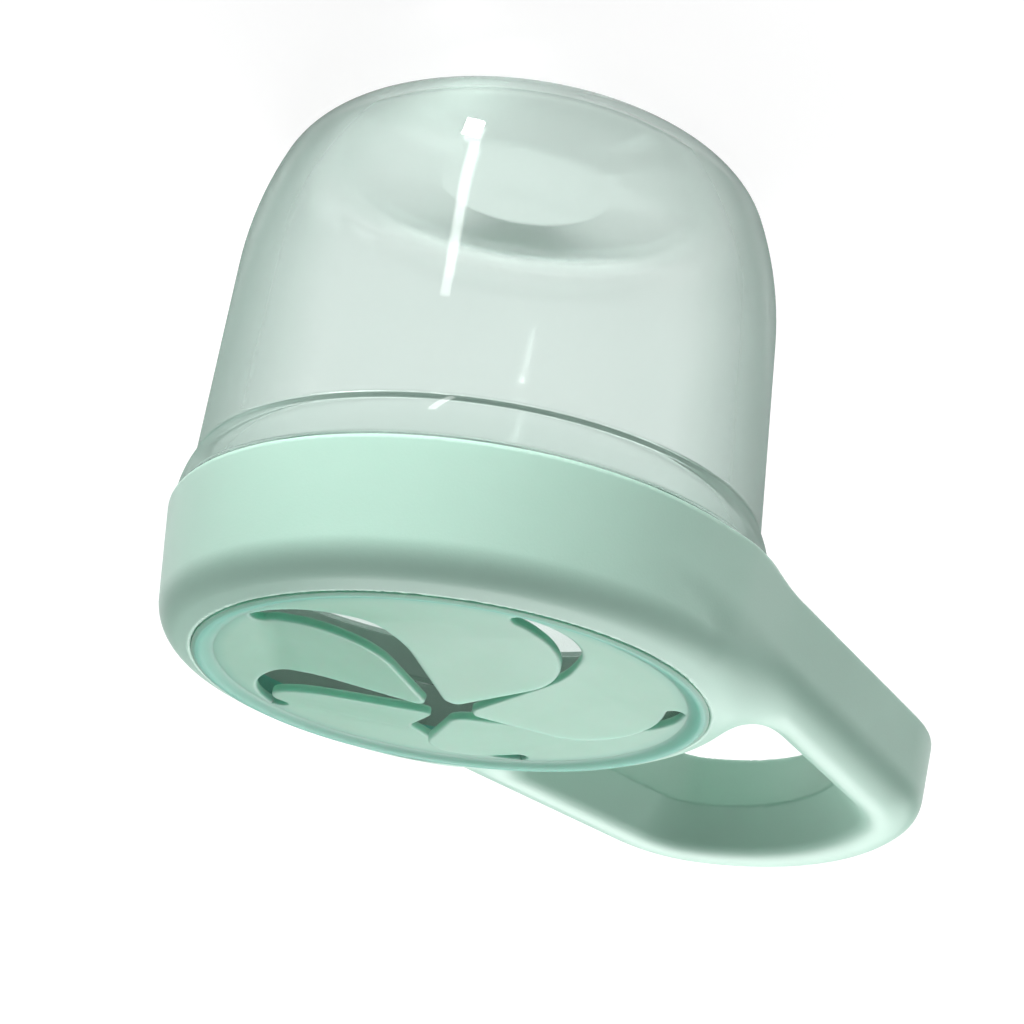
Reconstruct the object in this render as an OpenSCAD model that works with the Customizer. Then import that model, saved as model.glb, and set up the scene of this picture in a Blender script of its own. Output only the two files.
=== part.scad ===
// Toddler snack container: a clear round-based cup, a press-on lid collar with a
// loop handle, and a soft insert cut into curved flaps that a small hand pushes through.
// Millimetres, +Z up. The origin is the centre of the cup's flat base, and the
// handle points along +X.

/* [Cup] */
// Outer radius of the cup's wall where it meets the shoulder
body_r = 43.9; // [38:0.1:50]
// Height of the shoulder's start above the base
shoulder_z = 57.8; // [50:0.2:62]
// Taper of the cup's straight wall towards the base, degrees
body_draft = 1.85; // [0.5:0.05:3]
// Radius of the long curve that draws the wall in above the base
side_curve_r = 56; // [45:1:70]
// Turn of that long curve, degrees
side_curve_turn = 19; // [12:1:25]
// Radius of the rounded edge round the base
base_edge_r = 11; // [8:0.5:14]
// Wall thickness of the cup's body
cup_wall = 1.6; // [1.2:0.1:2]
// Extra thickness of the cup's base over its wall
base_extra = 0.8; // [0.4:0.1:2]
// Radius of the fine moulded ring under the base
base_ring_r = 14; // [10:0.5:18]

/* [Cup mouth] */
// Stand of the shoulder flange, which the lid sits down on, from the body
flange_stand = 1.9; // [1.5:0.1:2.3]
// Height of the flange's top face above the shoulder's start
flange_rise = 7.8; // [6:0.2:9]
// Height of the plain land below the flange's bulging outer face
flange_land = 0.75; // [0.3:0.05:2]
// Step in from the body to the neck inside the lid
neck_step = 1.1; // [0.8:0.1:1.5]
// Wall thickness of the neck
neck_wall = 1.9; // [1.5:0.1:2.2]
// Height of the neck above the flange
neck_h = 15.8; // [13:0.2:19]
// Height of the snap bead above the flange
bead_z = 7.4; // [5:0.2:9]
// Stand of the snap bead from the neck
bead_stand = 0.3; // [0.2:0.05:0.35]

/* [Lid collar] */
// Wall thickness of the collar at its lip
collar_wall = 3.2; // [2.8:0.1:4.6]
// Taper of the collar's wall towards its top, degrees
collar_draft = 5; // [3:0.5:6]
// Width of the ledge between the collar's bore and the opening in its top
ledge_w = 4.1; // [3.6:0.1:5]
// Slope of the collar's top face, degrees
top_slope = 25.5; // [20:0.5:30]
// Radius of the rounding between wall and top face
shoulder_round = 6.5; // [4:0.5:8]
// Thickness of the collar's top at the opening
top_t = 4; // [3.4:0.1:4.6]

/* [Handle] */
// Reach of the handle from the collar's lip
handle_out = 45.4; // [38:0.2:58]
// Radius of the handle's two corner arcs
corner_r = 22; // [19:0.5:25]
// Distance of those arcs' centres from the middle line
corner_y = 11; // [9:0.5:14]
// Depth of the end's gentle bulge past the corner arcs
end_bulge = 3; // [2:0.2:5]
// Width of the handle's band
band_w = 14.5; // [12:0.5:16]
// Height of the band's rounded crown above its lower edge
crown_h = 15.8; // [14:0.2:17]
// Radius of the crown's outer rounding
crown_r = 6; // [5:0.25:6.5]
// Slope from the crown down to the opening's crisp edge, degrees
crown_slope = 48; // [40:1:52]
// Rise of the handle away from the collar, degrees
handle_rise = 7; // [3:0.5:10]
// Wall thickness of the hollow-backed band
band_wall = 2.2; // [1.8:0.1:3]
// Height of the band's lower edge above the collar's lip, at the collar
band_lift = 2; // [1:0.2:4]

/* [Soft insert] */
// Thickness of the soft membrane
soft_t = 1.4; // [1:0.1:1.8]
// Depth of the membrane below the insert's rim
rim_depth = 0.9; // [0.5:0.1:1.4]
// Width of the insert's raised rim
rim_w = 1.3; // [1:0.1:2]
// Thickness of the insert's flange that is clamped under the collar
clamp_t = 1.6; // [1.2:0.1:1.8]

/* [Flaps] */
// Number of flaps
flap_count = 5; // [5:1:5]
// Direction of the first slit's straight start, degrees
slit_turn = 11.7; // [-10:0.1:30]
// Length of each slit's straight start, as a share of the rim's inner radius
spoke_share = 0.454; // [0.4:0.002:0.48]
// Distance between the slits' curved ends and the rim
slit_margin = 2.5; // [1.5:0.1:3.5]
// Turn of that curved end, degrees
slit_sweep = 117.8; // [105:0.1:120]
// Width of the slits
slit_w = 2.6; // [2:0.1:3]
// Radius of the flaps' rounded tips
tip_r = 2; // [1:0.1:3]
// Turn along the next slit's curve at which a flap's bending line ends, degrees
bulge_turn = 51; // [45:1:56]
// Lift of the flaps towards the outside at rest, degrees
flap_lift = 10; // [4:0.5:14]

/* [Fits] */
// Radial clearance between the neck and the collar's bore
bore_gap = 0.6; // [0.45:0.05:0.8]
// Vertical gap between the lid and what it rests on
seat_gap = 0.3; // [0.2:0.05:0.4]
// Clearance of the insert in the collar's opening
insert_gap = 0.1; // [0.05:0.01:0.15]
// Clearance round a flap's bending line
bend_gap = 0.3; // [0.2:0.05:0.4]

/* [Hidden] */
$fn = 160;

lip_round = 0.8;
rim_round = 0.5;
floor_step = 0.1;
ring_groove = 0.5;
bead_round = 0.6;
groove_round = 1;
groove_depth = 0.4;
ledge_round = 1.2;
rim_proud = 0.2;
crown_sharpen = 1;
arm_inset = 0.9;
tilt_x = 30;
far_out = 200;
overlap = 0.8;

// Heights
flange_z = shoulder_z + flange_rise;
cup_h = flange_z + neck_h;
lip_z = flange_z + seat_gap;
clamp_z = cup_h + seat_gap;
ledge_z = clamp_z + clamp_t + insert_gap;
collar_top = ledge_z + top_t;
rim_z = collar_top + rim_proud;
soft_top = rim_z - rim_depth;
bend_z = soft_top - soft_t / 2;

// Radii
flange_r = body_r + flange_stand;
neck_r = body_r - neck_step;
neck_bore_r = neck_r - neck_wall;
bore_r = neck_r + bore_gap;
collar_r = bore_r + collar_wall;
opening_r = bore_r - ledge_w;
insert_r = opening_r - insert_gap;
clamp_r = bore_r - ledge_round;
rim_in_r = insert_r - rim_w;

// Cup outline: flat base, edge arc, long side arc and straight tapered wall
edge_turn = 90 - body_draft - side_curve_turn;
wall_turn = edge_turn + side_curve_turn;
base_t = cup_wall + base_extra;
wall_z = base_edge_r * (1 - cos(edge_turn)) + side_curve_r * (cos(edge_turn) - cos(wall_turn));
wall_r = body_r - (shoulder_z - wall_z) * tan(body_draft);
base_r = wall_r - base_edge_r * sin(edge_turn) - side_curve_r * (sin(wall_turn) - sin(edge_turn));
body_in_r = body_r - cup_wall / cos(body_draft);
edge_c = [base_r, base_edge_r];
side_c = edge_c + (side_curve_r - base_edge_r) * [-sin(edge_turn), cos(edge_turn)];

// Collar outline: tapered wall and sloping top face joined by one rounding
wall_n = [cos(collar_draft), sin(collar_draft)];
top_n = [sin(top_slope), cos(top_slope)];
wall_d = wall_n * [collar_r, lip_z];
top_d = top_n * [opening_r, collar_top];
shoulder_c = meet(wall_n, wall_d - shoulder_round, top_n, top_d - shoulder_round);

// Handle outline: two corner arcs and an end arc that touches both
handle_reach = collar_r + handle_out;
corner_x = handle_reach - corner_r - end_bulge;
end_r = corner_r + (end_bulge ^ 2 + corner_y ^ 2) / (2 * end_bulge);
end_x = handle_reach - end_r;
end_a = atan2(corner_y, corner_x - end_x);
corner_c = [corner_x, corner_y];
arm_r = collar_r - arm_inset;
arm_a = atan2(corner_y, corner_x) + acos((arm_r - corner_r) / norm(corner_c));
crown_in_r = crown_r - crown_sharpen;
crown_c = [crown_r, crown_h - crown_r];
crown_in_c = [crown_r, crown_h - crown_in_r];

// Slits, flaps and bending lines: the slits' curved ends reach the same circle
spoke_l = spoke_share * rim_in_r;
slit_reach = rim_in_r - slit_margin - slit_w / 2;
slit_r = (slit_reach ^ 2 - spoke_l ^ 2) / (2 * slit_reach);
flap_step = 360 / flap_count;
axis_r = soft_t / 2;
seat_r = axis_r + bend_gap;
arc_step = 5;
band_step = 10;
turn_step = 6;
root_past = 0.2;

function dir(a) = [cos(a), sin(a)];
// Where two lines meet, each given by its normal and its distance from the origin
function meet(n, d, m, e) = [d * m.y - e * n.y, n.x * e - m.x * d] / (n.x * m.y - n.y * m.x);
function spoke_a(k) = slit_turn + k * flap_step;
function spoke_end(k) = spoke_l * dir(spoke_a(k));
function slit_c(k) = spoke_end(k) + slit_r * dir(spoke_a(k) + 90);
function slit_point(k, t) = slit_c(k) + slit_r * dir(spoke_a(k) - 90 + t);
// A flap bends along the line from its own slit's end to the next slit's bulge
function bend_from(k) = slit_point(k, slit_sweep);
function bend_to(k) = slit_point(k + 1, bulge_turn);
function bend_line(k) = bend_to(k) - bend_from(k);
function bend_line_a(k) = near_turn(atan2(bend_line(k).y, bend_line(k).x), spoke_a(k) + 180);
function bend_a(k) = bend_line_a(k) - 90;

// Points along an arc about c
function arc(c, r, a0, a1, step = arc_step) = let(n = max(1, ceil(abs(a1 - a0) / step)))
    [for (i = [0:n]) c + r * dir(a0 + (a1 - a0) * i / n)];
function reversed(list) = [for (i = [len(list) - 1:-1:0]) list[i]];
function tail(list) = [for (i = [1:len(list) - 1]) list[i]];
// The same angle, a whole number of turns away, nearest to another angle
function near_turn(a, other) = a + 360 * round((other - a) / 360);
// Where a line through p along d goes into a circle about c, and where it comes out
function leave_circle(p, d, c, r) = let(q = p - c, h = q * d) p + (-h + sqrt(h * h - q * q + r * r)) * d;
function enter_circle(p, d, c, r) = let(q = p - c, h = q * d) p + (-h - sqrt(h * h - q * q + r * r)) * d;

// Wall of the cup's body from the base's edge up to the shoulder, drawn in by an inset
function body_wall(inset) = concat(
    arc(edge_c, base_edge_r - inset, -90, edge_turn - 90),
    tail(arc(side_c, side_curve_r - inset, edge_turn - 90, wall_turn - 90)),
    [[body_r - inset / cos(body_draft), shoulder_z]]
);

module cup() {
    flange_bulge_r = ((flange_rise - flange_land) ^ 2 + flange_stand ^ 2) / (2 * flange_stand);
    bulge_c = [flange_r - flange_bulge_r, flange_z];
    bulge_a = acos(1 - flange_stand / flange_bulge_r);
    bead_c = [neck_r + bead_stand - bead_round, flange_z + bead_z];
    bead_a = acos(1 - bead_stand / bead_round);
    floor_turn = acos(1 - (base_t - cup_wall) / (base_edge_r - cup_wall));
    inner_wall = [for (p = body_wall(cup_wall)) if (p.y > base_t + floor_step) p];
    color("#c9e6dc", 0.45) rotate_extrude() polygon(concat(
        // Underside with its fine moulded ring
        [[0, 0], [base_ring_r - ring_groove, 0]],
        [[base_ring_r, ring_groove], [base_ring_r + ring_groove, 0]],
        body_wall(0),
        // Shoulder flange with a bulging face
        arc(bulge_c, flange_bulge_r, -bulge_a, 0),
        // Neck with its snap bead and rounded rim
        [[neck_r, flange_z]],
        arc(bead_c, bead_round, -bead_a, bead_a),
        arc([neck_r - rim_round, cup_h - rim_round], rim_round, 0, 90),
        [[neck_bore_r, cup_h], [neck_bore_r, shoulder_z + body_in_r - neck_bore_r]],
        reversed(inner_wall),
        [[base_r + (base_edge_r - cup_wall) * sin(floor_turn), base_t], [0, base_t]]
    ));
}

// Solid shape of the collar, before it is hollowed
module collar_block() {
    lip_c = meet(wall_n, wall_d - lip_round, [0, 1], lip_z + lip_round);
    rotate_extrude() polygon(concat(
        [[0, lip_z]],
        arc(lip_c, lip_round, -90, collar_draft),
        arc(shoulder_c, shoulder_round, collar_draft, 90 - top_slope),
        [[opening_r, collar_top], [0, collar_top]]
    ));
}

// Space inside the collar: a bore with a groove for the snap bead, then the opening
module collar_space() {
    groove_c = [bore_r + groove_depth - groove_round, flange_z + bead_z];
    groove_a = acos(1 - groove_depth / groove_round);
    rotate_extrude() polygon(concat(
        [[0, lip_z - overlap], [bore_r, lip_z - overlap]],
        arc(groove_c, groove_round, -groove_a, groove_a),
        arc([bore_r, ledge_z] - [ledge_round, ledge_round], ledge_round, 0, 90),
        [[opening_r, ledge_z], [opening_r, collar_top + overlap], [0, collar_top + overlap]]
    ));
}

// Section of the handle's band, drawn in by an inset, from its inner face over the crown
// to its outer face: x is the way in from the outer outline and y the height
function band_face(inset) = let(
    foot = slope_end(inset)
) concat(
    [[foot.x, 0], foot],
    arc(crown_in_c, crown_in_r - inset, 90 - crown_slope, 90, band_step),
    tail(arc(crown_c, crown_r - inset, 90, 180, band_step)),
    [[inset, 0]]
);
function slope_end(inset) = let(
    p = crown_in_c + (crown_in_r - inset) * dir(90 - crown_slope),
    x = band_w - inset
) [x, p.y - (x - p.x) * tan(crown_slope)];

// Closed section of the hollow band
band_loop = concat(band_face(0), reversed(band_face(band_wall)));

// Stations round the handle: a point of the outer outline and the way out from it
function arc_stations(c, r, a0, a1) = [for (d = arc([0, 0], 1, a0, a1, turn_step)) [c + r * d, d]];
stations = concat(
    [[arm_r * dir(-arm_a), dir(-arm_a)]],
    arc_stations([corner_x, -corner_y], corner_r, -arm_a, -end_a),
    tail(arc_stations([end_x, 0], end_r, -end_a, end_a)),
    tail(arc_stations(corner_c, corner_r, end_a, arm_a)),
    [[arm_r * dir(arm_a), dir(arm_a)]]
);

// Loop handle: the band carried round the stations, raised a little away from the collar
module handle() {
    n = len(band_loop);
    m = len(stations);
    points = [for (st = stations) for (q = band_loop) let(p = st[0] - q.x * st[1]) [p.x, p.y, q.y]];
    sides = [for (i = [0:m - 2]) for (j = [0:n - 1]) let(
        a = i * n + j, b = i * n + (j + 1) % n
    ) each [[a, a + n, b + n], [a, b + n, b]]];
    half = n / 2;
    // The end faces join the outer and the inner side of the hollow section
    ends = [for (i = [0, m - 1]) for (j = [0:half - 2]) let(
        a = i * n + j, b = a + 1, c = i * n + n - 2 - j, d = c + 1
    ) each (i == 0 ? [[a, b, c], [a, c, d]] : [[a, c, b], [a, d, c]])];
    translate([tilt_x, 0, lip_z + band_lift]) rotate([0, -handle_rise, 0])
        translate([-tilt_x, 0, 0]) polyhedron(points, concat(sides, ends));
}

module lid_collar() {
    color("#8fd6bd") difference() {
        union() {
            collar_block();
            handle();
        }
        collar_space();
        translate([-far_out, -far_out, lip_z - far_out]) cube([2 * far_out, 2 * far_out, far_out]);
    }
}

// Everything between two slits, with the first slit and half of the second, up to the bending line
module flap_hole(k) {
    polygon(concat(
        [slit_w / 2 * dir(spoke_a(k) - 90)],
        arc(slit_c(k), slit_r + slit_w / 2, spoke_a(k) - 90, spoke_a(k) - 90 + slit_sweep),
        tail(arc(bend_from(k), slit_w / 2, spoke_a(k) - 90 + slit_sweep, bend_line_a(k))),
        reversed(arc(slit_c(k + 1), slit_r, spoke_a(k + 1) - 90, spoke_a(k + 1) - 90 + bulge_turn)),
        [[0, 0]]
    ));
}

// One flap seen from above, with a rounded tip, and taken well past its bending line
module flap_plan(k) {
    half = flap_step / 2;
    past = (axis_r + root_past) * dir(bend_a(k));
    along = dir(bend_line_a(k));
    from = leave_circle(bend_from(k) + past, along, bend_from(k), slit_w / 2);
    to = enter_circle(bend_from(k) + past, along, slit_c(k + 1), slit_r + slit_w / 2);
    from_a = atan2((from - bend_from(k)).y, (from - bend_from(k)).x);
    to_a = atan2((to - slit_c(k + 1)).y, (to - slit_c(k + 1)).x);
    cap_a = spoke_a(k) + slit_sweep;
    tip_c = (slit_w / 2 + tip_r) / sin(half) * dir(spoke_a(k) + half);
    polygon(concat(
        arc(tip_c, tip_r, spoke_a(k + 1) + 90, spoke_a(k) + 270),
        arc(slit_c(k), slit_r - slit_w / 2, spoke_a(k) - 90, spoke_a(k) - 90 + slit_sweep),
        tail(arc(bend_from(k), slit_w / 2, cap_a + 90, near_turn(from_a, cap_a))),
        arc(slit_c(k + 1), slit_r + slit_w / 2, near_turn(to_a, spoke_a(k + 1) - 90), spoke_a(k + 1) - 90)
    ));
}

// Frame along a flap's bending line: x out over the line, y along it
module at_bend(k) {
    translate([bend_from(k).x, bend_from(k).y, bend_z]) rotate([0, 0, bend_a(k)]) children();
}

module flap(k) {
    color("#5fc4ae", 0.9) at_bend(k) rotate([0, flap_lift, 0]) intersection() {
        rotate([0, 0, -bend_a(k)]) translate([-bend_from(k).x, -bend_from(k).y, -soft_t])
            linear_extrude(2 * soft_t) flap_plan(k);
        // Sheet with a round edge on the bending line
        translate([0, far_out / 2, 0]) rotate([90, 0, 0]) linear_extrude(far_out)
            polygon(concat(
                [[-far_out, -axis_r]],
                arc([0, 0], axis_r, -90, 90, band_step),
                [[-far_out, axis_r]]
            ));
    }
}

module flap_ring() {
    rim_c = [rim_in_r + rim_w / 2, rim_z - rim_w / 2];
    color("#5fc4ae", 0.9) difference() {
        rotate_extrude() polygon(concat(
            [[0, soft_top - soft_t], [rim_in_r, soft_top - soft_t]],
            [[rim_in_r, clamp_z], [clamp_r, clamp_z]],
            [[clamp_r, clamp_z + clamp_t], [insert_r, clamp_z + clamp_t]],
            arc(rim_c, rim_w / 2, 0, 180, band_step),
            [[rim_in_r, soft_top], [0, soft_top]]
        ));
        translate([0, 0, clamp_z]) linear_extrude(far_out) {
            circle(slit_r);
            for (k = [1:flap_count]) flap_hole(k);
        }
        for (k = [1:flap_count]) at_bend(k)
            rotate([-90, 0, 0]) cylinder(r = seat_r, h = norm(bend_line(k)));
    }
}

module flap_1() { flap(1); }
module flap_2() { flap(2); }
module flap_3() { flap(3); }
module flap_4() { flap(4); }
module flap_5() { flap(5); }

cup();
lid_collar();
flap_ring();
flap_1();
flap_2();
flap_3();
flap_4();
flap_5();
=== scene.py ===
"""Looks of the toddler snack container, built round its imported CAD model.

Sizes are in millimetres while a shape is worked out and in metres once it is a mesh.
"""

import math

import bpy
import numpy as np
from mathutils import Matrix, Vector


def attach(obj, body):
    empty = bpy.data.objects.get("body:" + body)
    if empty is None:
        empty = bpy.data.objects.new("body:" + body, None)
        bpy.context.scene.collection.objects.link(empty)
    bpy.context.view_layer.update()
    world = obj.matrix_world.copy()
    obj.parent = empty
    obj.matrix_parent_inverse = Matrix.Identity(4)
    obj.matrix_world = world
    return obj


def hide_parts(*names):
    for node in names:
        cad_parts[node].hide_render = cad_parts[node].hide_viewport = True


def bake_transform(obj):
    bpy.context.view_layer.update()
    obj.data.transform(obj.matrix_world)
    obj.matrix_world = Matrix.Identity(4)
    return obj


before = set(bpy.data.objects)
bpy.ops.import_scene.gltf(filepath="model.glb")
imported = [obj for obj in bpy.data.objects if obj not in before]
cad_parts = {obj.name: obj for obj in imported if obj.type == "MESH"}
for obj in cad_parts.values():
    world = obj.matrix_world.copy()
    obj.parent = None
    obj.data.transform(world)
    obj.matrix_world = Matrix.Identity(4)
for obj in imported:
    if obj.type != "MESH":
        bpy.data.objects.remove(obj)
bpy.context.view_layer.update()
MM = 0.001

# ---------------------------------------------------------------- sizes of the part

BODY_R, SHOULDER_Z, DRAFT = 43.9, 57.8, 1.85
SIDE_R, SIDE_TURN, EDGE_R = 56.0, 19.0, 11.0
CUP_WALL, BASE_T, BASE_RING = 1.6, 2.4, 14.0
FLANGE_R, FLANGE_Z, BULGE_R = 45.8, 65.6, 14.0
NECK_R, NECK_BORE, CUP_H = 42.8, 40.9, 81.4
BEAD_Z, BEAD_STAND, BEAD_R = 73.0, 0.3, 0.6
COLLAR_R, COLLAR_DRAFT, LIP_Z = 46.6, 5.0, 65.9
OPENING_R, TOP_SLOPE, COLLAR_TOP = 39.3, 25.5, 87.4
SHOULDER_R, LIP_R = 6.5, 0.8
BORE_R, LEDGE_Z, LEDGE_R = 43.4, 83.4, 1.2
GROOVE_R, GROOVE_D = 1.0, 0.4
REACH, CORNER_X, CORNER_Y, CORNER_R = 92.0, 67.0, 11.0, 22.0
BAND_W, CROWN_H, CROWN_R, CROWN_IN_R, CROWN_SLOPE = 14.5, 15.8, 6.0, 5.0, 48.0
RISE, TILT_X, BAND_LIFT, BAND_WALL, ARM_R = 7.0, 30.0, 2.0, 2.2, 45.7
RIM_IN, RIM_Z, CLAMP_R, CLAMP_Z, CLAMP_T = 37.9, 87.6, 42.2, 81.7, 1.6
SOFT_T, SOFT_TOP = 1.4, 86.7
BEND_Z = SOFT_TOP - SOFT_T / 2
FLAPS, SLIT_TURN, SPOKE_SHARE, SWEEP, SLIT_W, SLIT_MARGIN = 5, 11.7, 0.454, 117.8, 2.6, 2.5
TIP_R, BULGE_TURN, LIFT = 2.0, 51.0, 10.0
STEP = 360.0 / FLAPS
SPOKE = SPOKE_SHARE * RIM_IN
SLIT_REACH = RIM_IN - SLIT_MARGIN - SLIT_W / 2
SLIT_R = (SLIT_REACH**2 - SPOKE**2) / (2 * SLIT_REACH)


# How finely shapes are worked out, in mm: plane outlines, the collar and the membrane
PLAN_STEP = 0.1
COLLAR_STEP = 0.5
SOFT_STEP = 0.35
SHARP_ANGLE = 40

# ---------------------------------------------------------------- plane geometry


def direction(a):
    return np.array([math.cos(math.radians(a)), math.sin(math.radians(a))])


def arc(c, r, a0, a1, step=2.0):
    n = max(1, math.ceil(abs(a1 - a0) / step))
    return [np.array(c) + r * direction(a0 + (a1 - a0) * i / n) for i in range(n + 1)]


def meet(n, d, m, e):
    """Where two lines meet, each given by its normal and its distance from the origin."""
    det = n[0] * m[1] - n[1] * m[0]
    return np.array([d * m[1] - e * n[1], n[0] * e - m[0] * d]) / det


def smooth(t):
    t = np.clip(t, 0, 1)
    return t * t * (3 - 2 * t)


class Field:
    """Signed distance to a closed outline, negative inside, kept on a fine grid."""

    def __init__(self, outline, lo, hi, step):
        pts = np.array(outline, float)
        a, b = pts, np.roll(pts, -1, 0)
        keep = np.hypot(*(b - a).T) > 1e-9
        a, b = a[keep], b[keep]
        self.lo, self.step = np.array(lo, float), step
        xs = np.arange(lo[0], hi[0] + step, step)
        ys = np.arange(lo[1], hi[1] + step, step)
        grid = np.stack(np.meshgrid(xs, ys, indexing="ij"), -1).reshape(-1, 2)
        best = np.full(len(grid), 1e9)
        inside = np.zeros(len(grid), bool)
        for p, q in zip(a, b):
            d = q - p
            w = grid - p
            t = np.clip((w @ d) / (d @ d), 0, 1)
            best = np.minimum(best, ((w - t[:, None] * d) ** 2).sum(1))
            if p[1] != q[1]:
                crosses = (p[1] > grid[:, 1]) != (q[1] > grid[:, 1])
                x = p[0] + (grid[:, 1] - p[1]) * d[0] / d[1]
                inside ^= crosses & (grid[:, 0] < x)
        self.values = (np.sqrt(best) * np.where(inside, -1, 1)).reshape(len(xs), len(ys))

    def __call__(self, x, y):
        u = (x - self.lo[0]) / self.step
        v = (y - self.lo[1]) / self.step
        top_u, top_v = self.values.shape[0] - 1.001, self.values.shape[1] - 1.001
        cu, cv = np.clip(u, 0, top_u), np.clip(v, 0, top_v)
        away = np.hypot(u - cu, v - cv) * self.step
        i, j = cu.astype(int), cv.astype(int)
        s, t = cu - i, cv - j
        g = self.values
        inner = (g[i, j] * (1 - s) + g[i + 1, j] * s) * (1 - t)
        inner = inner + (g[i, j + 1] * (1 - s) + g[i + 1, j + 1] * s) * t
        return inner + away


def smooth_min(a, b, k):
    h = np.maximum(k - np.abs(a - b), 0) / np.maximum(k, 1e-6)
    return np.minimum(a, b) - h * h * k / 4


def smooth_max(a, b, k):
    return -smooth_min(-a, -b, k)


def gradient(f, p, e=0.04):
    out = np.empty_like(p)
    for i in range(3):
        d = np.zeros(3)
        d[i] = e
        out[:, i] = (f(p + d) - f(p - d)) / (2 * e)
    return out


def surface(f, lo, hi, step, rounds=4):
    """Closed mesh of the surface where f is zero: points, faces and outward normals."""
    axes = [np.arange(lo[i], hi[i] + step, step) for i in range(3)]
    grid = np.stack(np.meshgrid(*axes, indexing="ij"), -1)
    shape = grid.shape[:3]
    values = f(grid.reshape(-1, 3)).reshape(shape)
    inside = values < 0
    cells = tuple(n - 1 for n in shape)
    total, count = np.zeros(cells + (3,)), np.zeros(cells)
    loops = []
    for ax in range(3):
        others = [i for i in range(3) if i != ax]
        order = [ax] + others
        v, s = np.moveaxis(values, ax, 0), np.moveaxis(inside, ax, 0)
        at = np.argwhere(s[:-1] != s[1:])
        low, high = v[:-1][tuple(at.T)], v[1:][tuple(at.T)]
        spot = np.empty((len(at), 3))
        spot[:, order] = at + np.stack([low / (low - high), 0 * low, 0 * low], 1)
        loop = []
        for dj, dk in ((-1, -1), (0, -1), (0, 0), (-1, 0)):
            cell = np.empty((len(at), 3), int)
            cell[:, order] = at + np.array([0, dj, dk])
            np.add.at(total, tuple(cell.T), spot)
            np.add.at(count, tuple(cell.T), 1)
            loop.append(np.ravel_multi_index(tuple(cell.T), cells))
        loop = np.stack(loop, 1)
        flip = s[:-1][tuple(at.T)] == (ax == 1)
        loop[flip] = loop[flip][:, ::-1]
        loops.append(loop)
    used = np.flatnonzero(count.ravel())
    index = np.full(count.size, -1)
    index[used] = np.arange(len(used))
    points = total.reshape(-1, 3)[used] / count.ravel()[used][:, None] * step + np.array(lo)
    for _ in range(rounds):
        g = gradient(f, points)
        move = (f(points) / np.maximum((g * g).sum(1), 0.05))[:, None] * g
        far = np.linalg.norm(move, axis=1) / (0.5 * step)
        points -= move / np.maximum(far, 1)[:, None]
    g = gradient(f, points)
    normals = g / np.maximum(np.linalg.norm(g, axis=1), 1e-9)[:, None]
    return points, index[np.concatenate(loops)], normals


# ---------------------------------------------------------------- meshes


def make_object(name, points, faces, normals=None):
    mesh = bpy.data.meshes.new(name)
    mesh.from_pydata((np.asarray(points) * MM).tolist(), [], [list(map(int, f)) for f in faces])
    mesh.polygons.foreach_set("use_smooth", [True] * len(mesh.polygons))
    mesh.update()
    if normals is not None:
        mesh.normals_split_custom_set_from_vertices(normals.tolist())
    obj = bpy.data.objects.new(name, mesh)
    bpy.context.collection.objects.link(obj)
    return obj


def revolve(name, outline, turns=256):
    """Closed ring or vessel from an outline of (radius, height). Points on the axis are shared."""
    points, rows = [], []
    for r, z in outline:
        if r < 1e-6:
            rows.append([len(points)] * turns)
            points.append((0, 0, z))
        else:
            start = len(points)
            rows.append([start + i for i in range(turns)])
            angles = np.arange(turns) * 2 * math.pi / turns
            points += [(r * math.cos(a), r * math.sin(a), z) for a in angles]
    faces = []
    closed = outline[0][0] > 1e-6
    pairs = list(zip(rows, rows[1:])) + ([(rows[-1], rows[0])] if closed else [])
    for low, high in pairs:
        for i in range(turns):
            j = (i + 1) % turns
            face = [low[i], low[j], high[j], high[i]]
            faces.append([v for n, v in enumerate(face) if v not in face[:n]])
    obj = make_object(name, points, faces)
    obj.data.set_sharp_from_angle(angle=math.radians(SHARP_ANGLE))
    return obj


def rounded(corners, step=15.0):
    """Outline with chosen corners rounded: each corner is (x, y, radius)."""
    out = []
    n = len(corners)
    for i, (x, y, r) in enumerate(corners):
        p = np.array([x, y], float)
        if r <= 0:
            out.append(p)
            continue
        a = np.array(corners[i - 1][:2]) - p
        b = np.array(corners[(i + 1) % n][:2]) - p
        a, b = a / np.hypot(*a), b / np.hypot(*b)
        half = math.acos(np.clip(a @ b, -1, 1)) / 2
        back = r / math.tan(half)
        c = p + (a + b) / np.hypot(*(a + b)) * r / math.sin(half)
        u, v = p + a * back - c, p + b * back - c
        a0 = math.degrees(math.atan2(u[1], u[0]))
        a1 = math.degrees(math.atan2(v[1], v[0]))
        a1 = a0 + (a1 - a0 + 180) % 360 - 180
        out += arc(c, r, a0, a1, step)
    return out


# ---------------------------------------------------------------- cup

edge_turn = 90 - DRAFT - SIDE_TURN
wall_turn = edge_turn + SIDE_TURN
cos_of = lambda a: math.cos(math.radians(a))
sin_of = lambda a: math.sin(math.radians(a))
wall_z = EDGE_R * (1 - cos_of(edge_turn)) + SIDE_R * (cos_of(edge_turn) - cos_of(wall_turn))
wall_r = BODY_R - (SHOULDER_Z - wall_z) * math.tan(math.radians(DRAFT))
base_r = wall_r - EDGE_R * sin_of(edge_turn) - SIDE_R * (sin_of(wall_turn) - sin_of(edge_turn))
edge_c = np.array([base_r, EDGE_R])
side_c = edge_c + (SIDE_R - EDGE_R) * np.array([-sin_of(edge_turn), cos_of(edge_turn)])


def body_wall(inset):
    return (
        arc(edge_c, EDGE_R - inset, -90, edge_turn - 90)
        + arc(side_c, SIDE_R - inset, edge_turn - 90, wall_turn - 90)[1:]
        + [np.array([BODY_R - inset / cos_of(DRAFT), SHOULDER_Z])]
    )


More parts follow.
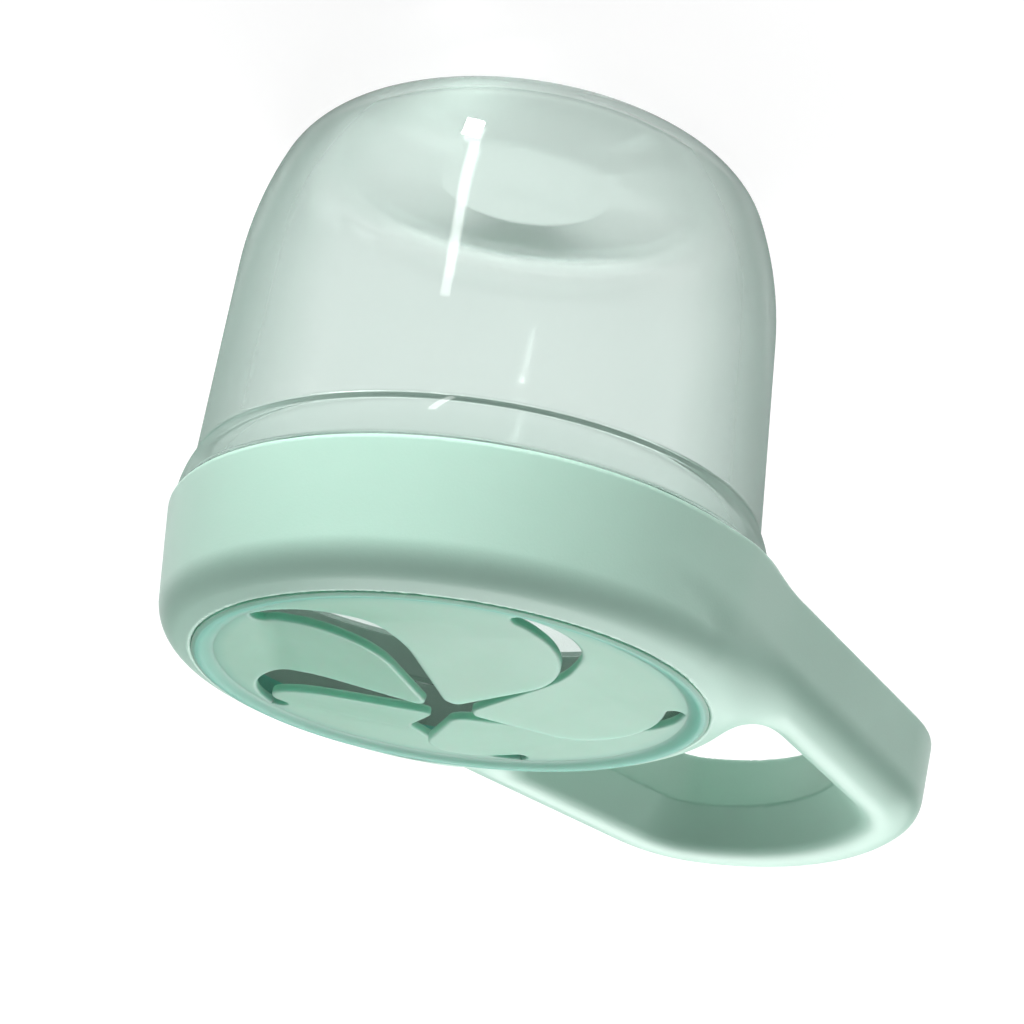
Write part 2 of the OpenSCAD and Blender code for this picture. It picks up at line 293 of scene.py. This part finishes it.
def cup_outline():
    """Half section of the cup, up its outside and down its inside.

    The base has a faint ring below, and the mark of its moulding gate on both sides.
    """
    bulge_c = np.array([FLANGE_R - BULGE_R, FLANGE_Z])
    bulge_a = math.degrees(math.acos((BODY_R - bulge_c[0]) / BULGE_R))
    bead_c = np.array([NECK_R + BEAD_STAND - BEAD_R, BEAD_Z])
    bead_a = math.degrees(math.acos((NECK_R - bead_c[0]) / BEAD_R))
    body_in = BODY_R - CUP_WALL / cos_of(DRAFT)
    step_z = SHOULDER_Z + body_in - NECK_BORE
    inner = [p for p in body_wall(CUP_WALL)[:-1] if p[1] > BASE_T + 0.1]
    floor_turn = math.degrees(math.acos((EDGE_R - BASE_T) / (EDGE_R - CUP_WALL)))
    floor_r = base_r + (EDGE_R - CUP_WALL) * sin_of(floor_turn)
    swell = ((-0.7, 0), (-0.3, 0.05), (0, 0.07), (0.3, 0.05), (0.7, 0))
    ring = [(BASE_RING + d, h) for d, h in swell]
    gate = [(3.2, BASE_T), (2.4, BASE_T + 0.03), (0.8, BASE_T + 0.05)]
    return (
        [(0, 0.05), (2.6, 0.04), (3.6, 0)]
        + ring
        + body_wall(0)
        + arc(bulge_c, BULGE_R, -bulge_a, -2.2, 1.5)
        + arc((FLANGE_R - 0.4, FLANGE_Z - 0.4), 0.4, 0, 90, 15)
        + [(NECK_R + 0.4, FLANGE_Z), (NECK_R + 0.1, FLANGE_Z + 0.1), (NECK_R, FLANGE_Z + 0.4)]
        + arc(bead_c, BEAD_R, -bead_a, bead_a, 10)
        + arc((NECK_R - 0.5, CUP_H - 0.5), 0.5, 0, 90, 15)
        + arc((NECK_BORE + 0.4, CUP_H - 0.4), 0.4, 90, 180, 15)
        + [(NECK_BORE, step_z + 0.5), (NECK_BORE + 0.12, step_z + 0.1)]
        + [(body_in - 0.12, SHOULDER_Z + 0.1), (body_in - 0.02, SHOULDER_Z - 0.4)]
        + inner[::-1]
        + [(floor_r, BASE_T)]
        + gate
        + [(0, BASE_T + 0.05)]
    )


cup = revolve("clear_cup", cup_outline(), 320)

# ---------------------------------------------------------------- collar with its handle

wall_n, top_n = direction(COLLAR_DRAFT), direction(90 - TOP_SLOPE)
wall_d = wall_n @ np.array([COLLAR_R, LIP_Z])
top_d = top_n @ np.array([OPENING_R, COLLAR_TOP])
shoulder_c = meet(wall_n, wall_d - SHOULDER_R, top_n, top_d - SHOULDER_R)
lip_c = meet(wall_n, wall_d - LIP_R, (0, 1), LIP_Z + LIP_R)
groove_c = np.array([BORE_R + GROOVE_D - GROOVE_R, BEAD_Z])
groove_a = math.degrees(math.acos((BORE_R - groove_c[0]) / GROOVE_R))

PROFILE_LO, PROFILE_HI = (26, 60), (60, 96)
block = Field(
    [(-30, LIP_Z)]
    + arc(lip_c, LIP_R, -90, COLLAR_DRAFT, 10)
    + arc(shoulder_c, SHOULDER_R, COLLAR_DRAFT, 90 - TOP_SLOPE)
    + [(OPENING_R, COLLAR_TOP), (-30, COLLAR_TOP)],
    PROFILE_LO, PROFILE_HI, PLAN_STEP,
)
space = Field(
    [(-30, 40), (BORE_R, 40)]
    + arc(groove_c, GROOVE_R, -groove_a, groove_a, 10)
    + arc((BORE_R - LEDGE_R, LEDGE_Z - LEDGE_R), LEDGE_R, 0, 90, 10)
    + [(OPENING_R, LEDGE_Z), (OPENING_R, 110), (-30, 110)],
    PROFILE_LO, PROFILE_HI, PLAN_STEP,
)

end_x = (CORNER_X**2 + CORNER_Y**2 - (REACH - CORNER_R) ** 2) / (2 * (CORNER_X - REACH + CORNER_R))
end_r = REACH - end_x
end_a = math.degrees(math.atan2(CORNER_Y, CORNER_X - end_x))
corner_d = math.hypot(CORNER_X, CORNER_Y)
arm_a = math.degrees(math.atan2(CORNER_Y, CORNER_X) + math.acos((ARM_R - CORNER_R) / corner_d))
crown_c = np.array([CROWN_R, CROWN_H - CROWN_R])
crown_in_c = np.array([CROWN_R, CROWN_H - CROWN_IN_R])


def band_face(inset, foot):
    p = crown_in_c + (CROWN_IN_R - inset) * direction(90 - CROWN_SLOPE)
    x = BAND_W - inset
    slope_end = np.array([x, p[1] - (x - p[0]) * math.tan(math.radians(CROWN_SLOPE))])
    return (
        [np.array([x, foot]), slope_end]
        + arc(crown_in_c, CROWN_IN_R - inset, 90 - CROWN_SLOPE, 90)
        + arc(crown_c, CROWN_R - inset, 90, 180)[1:]
        + [np.array([inset, foot])]
    )


FOOT_R = 0.6
BAND_LO, BAND_HI = (-9, -9), (24, 26)
band_solid = Field(band_face(FOOT_R, FOOT_R), BAND_LO, BAND_HI, PLAN_STEP)
band_hollow = Field(band_face(BAND_WALL, -20), BAND_LO, BAND_HI, PLAN_STEP)
# The handle rises outward by RISE, and its arms leave the corner arcs as straight tangents
rise_c, rise_s = math.cos(math.radians(RISE)), math.sin(math.radians(RISE))
arm_n, arm_t = direction(arm_a), direction(arm_a + 90)


SINK_IN, SINK_OVER = 5.5, 36.0


def band_place(p):
    """Way in from the handle's outline, height above its lower edge, way past the arm's root.

    Past its root the band follows the collar round and sinks slowly into it.
    """
    dx, dz = p[:, 0] - TILT_X, p[:, 2] - (LIP_Z + BAND_LIFT)
    x, z = TILT_X + dx * rise_c + dz * rise_s, -dx * rise_s + dz * rise_c
    y = np.abs(p[:, 1])
    end = end_r - np.hypot(x - end_x, y)
    corner = CORNER_R - np.hypot(x - CORNER_X, y - CORNER_Y)
    arm = ARM_R - x * arm_n[0] - y * arm_n[1]
    at_end = np.degrees(np.arctan2(y, x - end_x)) < end_a
    before_arm = (x - CORNER_X) * arm_t[0] + (y - CORNER_Y) * arm_t[1] < 0
    past = x * arm_t[0] + y * arm_t[1]
    ring = ARM_R - SINK_IN * smooth(past / SINK_OVER) - np.hypot(x, y)
    s = np.where(at_end, end, np.where(before_arm, corner, np.where(past < 0, arm, ring)))
    return s, z, past


def blocks(p):
    s, z, past = band_place(p)
    ring = block(np.hypot(p[:, 0], p[:, 1]), p[:, 2])
    return ring, np.maximum(band_solid(s, z) - FOOT_R, past - SINK_OVER)


WALL_BLEND, VALLEY_BLEND, BLEND_IN = 5.0, 8.0, 10.0
SUNK_BLEND, SUNK_FROM, SUNK_OVER = 1.6, -8.0, 11.0
EDGE, SKIN = 0.6, 0.03


def collar_field(p):
    a, b = blocks(p)
    s, z, past = band_place(p)
    wall_k = WALL_BLEND + (SUNK_BLEND - WALL_BLEND) * smooth((past - SUNK_FROM) / SUNK_OVER)
    k = wall_k + (VALLEY_BLEND - wall_k) * smooth(s / BLEND_IN)
    shape = smooth_min(a, b, k)
    hollow = np.maximum(np.maximum(band_hollow(s, z), past), -a)
    void = np.minimum(space(np.hypot(p[:, 0], p[:, 1]), p[:, 2]), hollow)
    return smooth_max(smooth_max(shape, -void, EDGE), LIP_Z - p[:, 2], EDGE) + SKIN


points, faces, normals = surface(collar_field, (-48, -48, 65.2), (93, 48, 92.4), COLLAR_STEP)
collar = make_object("mint_collar", points, faces, normals)

# ---------------------------------------------------------------- soft insert


SLOPE_FROM, SLOPE_TO, SINK = 35.7, 38.3, 0.02
RIM_EDGE, EDGE_DROP, CREST_R = 39.28, 0.1, 38.65


def rim_outline():
    """Flange under the collar, outer wall, rounded crest and a gentle slope to the membrane."""
    top = SOFT_TOP - SINK
    slope = []
    for r in np.linspace(SLOPE_TO, SLOPE_FROM, 13):
        share = smooth((r - SLOPE_FROM) / (SLOPE_TO - SLOPE_FROM))
        slope.append((r, top + (RIM_Z - top) * share, 0))
    return rounded(
        [
            (RIM_IN, CLAMP_Z, 0.2),
            (CLAMP_R, CLAMP_Z, 0.3),
            (CLAMP_R, CLAMP_Z + CLAMP_T, 0.3),
            (RIM_EDGE, CLAMP_Z + CLAMP_T, 0.15),
            (RIM_EDGE, COLLAR_TOP - EDGE_DROP, 0),
            (CREST_R, RIM_Z, 0.4),
        ]
        + slope
        + [
            (SLOPE_FROM, SOFT_TOP - SOFT_T / 2, 0),
            (RIM_IN - 0.6, SOFT_TOP - SOFT_T + SINK, 0),
            (RIM_IN, SOFT_TOP - SOFT_T + SINK, 0.3),
        ],
        12,
    )


rim = revolve("insert_rim", rim_outline(), 256)

# One fifth of the membrane with its flap, worked out with its own slit's start along +x
spoke_end = [SPOKE * direction(STEP * i) for i in (0, 1)]
slit_c = [spoke_end[i] + SLIT_R * direction(90 + STEP * i) for i in (0, 1)]
slit_end = [slit_c[i] + SLIT_R * direction(SWEEP - 90 + STEP * i) for i in (0, 1)]
seam_a = math.degrees(math.atan2(slit_end[0][1], slit_end[0][0]))
bend_to = slit_c[1] + SLIT_R * direction(STEP - 90 + BULGE_TURN)
bend_t = (bend_to - slit_end[0]) / np.hypot(*(bend_to - slit_end[0]))
bend_n = np.array([bend_t[1], -bend_t[0]])
PAST, BACK, SEAM_OVER, SEAM_DROP = 2.5, -5.0, 1.0, 0.03
SEAM_SOFT, SEAM_R, SEAM_RISE = 2.0, 34.8, 0.6


def sector_outline():
    tip_c = (SLIT_W / 2 + TIP_R) / sin_of(STEP / 2) * direction(STEP / 2)
    w = SLIT_W / 2
    far = RIM_IN + 0.5
    return (
        arc(tip_c, TIP_R, STEP + 90, 270, 6)
        + arc(slit_c[0], SLIT_R - w, -90, SWEEP - 90)
        + arc(slit_end[0], w, SWEEP + 90, seam_a, 6)[1:]
        + arc((0, 0), far, seam_a - SEAM_OVER, seam_a + STEP, 1)
        + arc(slit_end[1], w, seam_a + STEP, SWEEP - 90 + STEP, 6)
        + arc(slit_c[1], SLIT_R + w, SWEEP - 90 + STEP, STEP - 90)[1:]
    )


sector_plan = Field(sector_outline(), (-14, -3), (42, 42), PLAN_STEP)
CUT_EDGE = 0.35


def sector_field(p):
    r, a = np.hypot(p[:, 0], p[:, 1]), np.degrees(np.arctan2(p[:, 1], p[:, 0]))
    under = smooth((seam_a - a) / SEAM_SOFT + 1) * smooth((r - SEAM_R) / SEAM_RISE)
    z = p[:, 2] + SEAM_DROP * under
    side = sector_plan(p[:, 0], p[:, 1]) + CUT_EDGE
    face = np.abs(z) - SOFT_T / 2 + CUT_EDGE
    out = np.hypot(np.maximum(side, 0), np.maximum(face, 0))
    return np.minimum(np.maximum(side, face), 0) + out - CUT_EDGE


def lifted(p):
    """The flat fifth with its flap bent up about its bending line, as it rests."""
    d = (p[:, :2] - slit_end[0]) @ bend_n
    w = smooth((PAST - d) / (PAST - BACK))
    a = np.radians(LIFT) * w
    back, up = d * np.cos(a) + p[:, 2] * np.sin(a), -d * np.sin(a) + p[:, 2] * np.cos(a)
    out = p.copy()
    out[:, :2] += (back - d)[:, None] * bend_n
    out[:, 2] = up
    return out


flat, fifth_faces, _ = surface(sector_field, (-15, -3.1, -1.2), (39.5, 39.5, 1.2), SOFT_STEP)
fifth = lifted(flat)
flaps = []
for k in range(1, FLAPS + 1):
    turn = np.array([direction(SLIT_TURN + k * STEP), direction(SLIT_TURN + k * STEP + 90)])
    spots = np.column_stack([fifth[:, :2] @ turn, fifth[:, 2] + BEND_Z])
    flap = make_object("insert_flap_%d" % k, spots, fifth_faces)
    middle = (slit_end[0] + bend_to) / 2
    start, end = (middle + PAST * bend_n) @ turn, (middle + BACK * bend_n) @ turn
    flaps.append((flap, start, end))

# ---------------------------------------------------------------- materials


class Nodes:
    """A material's node tree, with short calls to add and join nodes."""

    def __init__(self, name):
        self.material = bpy.data.materials.new(name)
        self.material.use_nodes = True
        self.tree = self.material.node_tree
        self.tree.nodes.clear()

    def add(self, kind, inputs=None, **values):
        node = self.tree.nodes.new("ShaderNode" + kind)
        for key, value in values.items():
            setattr(node, key, value)
        for key, value in (inputs or {}).items():
            if isinstance(value, bpy.types.NodeSocket):
                self.tree.links.new(value, node.inputs[key])
            else:
                node.inputs[key].default_value = value
        return node

    def place(self):
        return self.add("TexCoord").outputs["Object"]

    def noise(self, scale, detail=2.0, rough=0.5):
        values = {"Vector": self.place(), "Scale": scale, "Detail": detail, "Roughness": rough}
        return self.add("TexNoise", values).outputs["Fac"]

    def spread(self, value, lo, hi):
        n = self.add("MapRange", {"Value": value, "To Min": lo, "To Max": hi})
        return n.outputs["Result"]

    def ramp(self, value, start, end, lo=0.0, hi=1.0):
        limits = {"From Min": start, "From Max": end, "To Min": lo, "To Max": hi}
        return self.add("MapRange", {"Value": value, **limits}).outputs["Result"]

    def math(self, a, b, operation):
        return self.add("Math", {0: a, 1: b}, operation=operation).outputs[0]

    def mottled(self, scale, dark, light, detail=3):
        """A colour that drifts gently between two close tones, given as 0 to 255."""
        stops = [(0.3, linear(*dark)), (0.7, linear(*light))]
        return self.tint(self.noise(scale, detail), stops)

    def tint(self, value, stops):
        n = self.add("ValToRGB", {"Fac": value})
        ramp = n.color_ramp
        while len(ramp.elements) < len(stops):
            ramp.elements.new(0.5)
        for e, (at, colour) in zip(ramp.elements, stops):
            e.position, e.color = at, (*colour, 1)
        return n.outputs["Color"]

    def bump(self, height, strength, distance):
        values = {"Height": height, "Strength": strength, "Distance": distance}
        return self.add("Bump", values).outputs["Normal"]

    def finish(self, shader, socket="BSDF", volume=None):
        out = self.add("OutputMaterial")
        self.tree.links.new(shader.outputs[socket], out.inputs["Surface"])
        if volume:
            self.tree.links.new(volume.outputs[0], out.inputs["Volume"])
        return self.material


def linear(*colour):
    """A colour written as 0 to 255 in sRGB, as the linear values that nodes take."""
    parts = [c / 255 for c in colour]
    return tuple(c / 12.92 if c <= 0.04 else ((c + 0.055) / 1.055) ** 2.4 for c in parts)


def mint_plastic():
    n = Nodes("mint_plastic")
    tone = n.mottled(35, (172, 208, 192), (177, 213, 197))
    fine = n.noise(2600, 2, 0.6)
    soft = n.noise(180, 2)
    rough = n.spread(soft, 0.36, 0.44)
    shader = n.add(
        "BsdfPrincipled",
        {
            "Base Color": tone,
            "Roughness": rough,
            "Normal": n.bump(fine, 0.22, 0.00006),
            "IOR": 1.52,
            "Subsurface Weight": 0.12,
            "Subsurface Scale": 0.004,
            "Subsurface Radius": (0.6, 1.0, 0.85),
        },
    )
    return n.finish(shader)


def soft_rubber():
    """Milky rubber that lets some light through, with painted shade: a deeper teal band on the
    rim's inner slope, standing for light passing through the rim's thick edge.
    """
    n = Nodes("soft_insert")
    inner = n.mottled(60, (158, 199, 180), (166, 206, 188))
    flat = n.add("VectorMath", {0: n.place(), 1: (1, 1, 0)}, operation="MULTIPLY").outputs[0]
    radius = n.add("VectorMath", {0: flat}, operation="LENGTH").outputs["Value"]
    # A band on the rim's inner slope is painted a deeper teal, as shade for light passing through
    # the rim's thick edge.
    rise = n.ramp(radius, 0.0340, 0.0378)
    fall = n.ramp(radius, 0.0384, 0.0391, 1.0, 0.0)
    ring = n.math(rise, fall, "MULTIPLY")
    rim_shade_tone = n.mottled(60, (120, 190, 171), (128, 196, 178))
    tone = n.add("MixRGB", {"Fac": ring, "Color1": inner, "Color2": rim_shade_tone}).outputs[0]
    cloud = n.noise(140, 3)
    rough = n.spread(cloud, 0.34, 0.46)
    shader = n.add(
        "BsdfPrincipled",
        {
            "Base Color": tone,
            "Roughness": rough,
            "Normal": n.bump(n.noise(900, 2), 0.12, 0.00008),
            "IOR": 1.41,
            "Subsurface Weight": 0.85,
            "Subsurface Scale": 0.004,
            "Subsurface Radius": (0.55, 1.0, 0.85),
        },
    )
    through = n.add("BsdfTranslucent", {"Color": tone})
    mix = n.add("MixShader", {0: 0.25, 1: shader.outputs[0], 2: through.outputs[0]})
    return n.finish(mix, "Shader")


def clear_plastic():
    """Clear tinted plastic with a light haze that thickens towards its edges, where it darkens to
    a deeper teal as painted shade.
    """
    n = Nodes("clear_cup")
    tone = n.mottled(25, (251, 254, 253), (253, 255, 254), 2)
    rough = n.spread(n.noise(30, 2), 0.04, 0.07)
    bump = n.bump(n.noise(30, 1), 0.01, 0.0001)
    clear = n.add(
        "BsdfPrincipled",
        {
            "Base Color": tone,
            "Roughness": rough,
            "Normal": bump,
            "IOR": 1.5,
            "Transmission Weight": 1.0,
        },
    )
    face_tone = n.mottled(40, (206, 228, 219), (214, 233, 225))
    # Towards the edges the haze turns a deeper teal: painted shade for the cup's dark edges.
    edge_shade_tone = n.mottled(40, (122, 166, 150), (130, 173, 157))
    side = n.ramp(n.add("LayerWeight", {"Blend": 0.5}).outputs["Facing"], 0.3, 0.95)
    haze_and_edge_shade = n.add("MixRGB", {"Fac": side, "Color1": face_tone, "Color2": edge_shade_tone}).outputs[0]
    front = n.add("BsdfDiffuse", {"Color": haze_and_edge_shade, "Roughness": 0.4})
    through = n.add("BsdfTranslucent", {"Color": haze_and_edge_shade})
    haze = n.add("MixShader", {0: 0.5, 1: front.outputs[0], 2: through.outputs[0]})
    height = n.add("SeparateXYZ", {0: n.place()}).outputs["Z"]
    above = n.ramp(height, 0.0005, 0.005, 0.35, 1.0)
    share = n.math(n.spread(side, 0.12, 0.75), above, "MULTIPLY")
    shader = n.add("MixShader", {0: share, 1: clear.outputs[0], 2: haze.outputs[0]})
    depth = n.add("VolumeAbsorption", {"Color": (0.45, 0.66, 0.58, 1), "Density": 75.0})
    return n.finish(shader, "Shader", depth)


def pale_floor():
    """Pale matt floor, seen as nearly white but lighting the object only as a pale floor does."""
    n = Nodes("pale_floor")
    tone = n.tint(n.noise(3, 2), [(0.3, (0.86, 0.86, 0.86)), (0.7, (0.88, 0.88, 0.88))])
    lit = n.add("BsdfDiffuse", {"Color": tone, "Roughness": 0.5})
    shade = n.add("BsdfDiffuse", {"Color": (0.2, 0.2, 0.2, 1), "Roughness": 0.5})
    white = n.add("Emission", {"Color": (1, 1, 1, 1), "Strength": 0.92})
    both = n.add("AddShader", {0: shade.outputs[0], 1: white.outputs[0]})
    path = n.add("LightPath")
    seen = n.math(path.outputs["Is Camera Ray"], path.outputs["Is Transmission Ray"], "MAXIMUM")
    seen = n.math(seen, path.outputs["Is Glossy Ray"], "MAXIMUM")
    mix = n.add("MixShader", {0: seen, 1: lit.outputs[0], 2: both.outputs[0]})
    return n.finish(mix, "Shader")


mint, rubber, clear = mint_plastic(), soft_rubber(), clear_plastic()
pieces = [(cup, clear), (collar, mint), (rim, rubber)] + [(f[0], rubber) for f in flaps]
for obj, material in pieces:
    obj.data.materials.append(material)

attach(cup, "cup")
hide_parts("cup")
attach(collar, "lid")
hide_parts("lid_collar")
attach(rim, "lid")
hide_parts("flap_ring")
for k, (flap, start, end) in enumerate(flaps, 1):
    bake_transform(flap)
    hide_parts("flap_%d" % k)

# ---------------------------------------------------------------- floor, light and camera

floor_mesh = bpy.data.meshes.new("floor")
FLOOR_HALF, FLOOR_GAP = 4, 0.0004
corners = [(x * FLOOR_HALF, y * FLOOR_HALF, 0) for x, y in ((-1, -1), (1, -1), (1, 1), (-1, 1))]
floor_mesh.from_pydata(corners, [], [(0, 1, 2, 3)])
floor = bpy.data.objects.new("floor", floor_mesh)
bpy.context.collection.objects.link(floor)
floor.location.z = -FLOOR_GAP
floor.data.materials.append(pale_floor())

scene = bpy.context.scene
scene.view_settings.view_transform = "Standard"
world = bpy.data.worlds.new("studio")
scene.world = world
world.use_nodes = True
tree = world.node_tree
tree.nodes.clear()
sky = tree.nodes.new("ShaderNodeBackground")
sky.inputs["Color"].default_value = (0.97, 0.99, 1.0, 1)
sky.inputs["Strength"].default_value = 0.13
seen_sky = tree.nodes.new("ShaderNodeBackground")
seen_sky.inputs["Color"].default_value = (1, 1, 1, 1)
seen_sky.inputs["Strength"].default_value = 1.0
paths = tree.nodes.new("ShaderNodeLightPath")
mix = tree.nodes.new("ShaderNodeMixShader")
out = tree.nodes.new("ShaderNodeOutputWorld")
either = tree.nodes.new("ShaderNodeMath")
either.operation = "MAXIMUM"
tree.links.new(paths.outputs["Is Camera Ray"], either.inputs[0])
tree.links.new(paths.outputs["Is Transmission Ray"], either.inputs[1])
tree.links.new(either.outputs[0], mix.inputs[0])
tree.links.new(sky.outputs[0], mix.inputs[1])
tree.links.new(seen_sky.outputs[0], mix.inputs[2])
tree.links.new(mix.outputs[0], out.inputs["Surface"])


def lamp(name, place, aim, size, radiance, colour=(1, 1, 1)):
    """Soft flat lamp at a place, facing another, with its brightness as seen directly."""
    data = bpy.data.lights.new(name, "AREA")
    data.shape = "RECTANGLE"
    data.size, data.size_y = size
    data.energy = math.pi * radiance * size[0] * size[1]
    data.color = colour
    obj = bpy.data.objects.new(name, data)
    bpy.context.collection.objects.link(obj)
    obj.location = place
    obj.rotation_euler = (Vector(aim) - Vector(place)).to_track_quat("-Z", "Y").to_euler()
    obj.visible_camera = False
    return obj


lamp("back", (0.753, -0.246, 0.81), (0.01, 0, 0.08), (1.28, 1.28), 2.2)
# The low lamp lies on the floor close by, so it is kept out of reflections and out of the cup
low = lamp("low", (-0.18, 0.084, 0.004), (-0.18, 0.084, 1), (0.29, 0.29), 2.6)
low.data.shape = "DISK"
low.visible_glossy = low.visible_transmission = False
lamp("top", (0.41, -0.47, 0.95), (0.01, 0, 0.08), (0.7, 0.7), 5.4)
lamp("streak", (-0.0515, 0.033, 0.016), (-0.034, 0.025, 0.025), (0.003, 0.030), 7.0)
lamp("star", (-0.0401, 0.0266, 0.0049), (-0.0333, 0.0247, 0.0146), (0.004, 0.004), 60.0)

camera_data = bpy.data.cameras.new("camera")
camera_data.lens = 100
camera_data.sensor_width = 36
camera = bpy.data.objects.new("camera", camera_data)
bpy.context.collection.objects.link(camera)
right = Vector((0.7007, 0.7007, -0.135)).normalized()
back = Vector((-0.621, 0.692, 0.369))
back = (back - right * back.dot(right)).normalized()
up = back.cross(right)
turned = Matrix((right, up, back)).transposed().to_4x4()
camera.matrix_world = Matrix.Translation(Vector((-268.4, 307.3, 219.4)) * MM) @ turned
scene.camera = camera
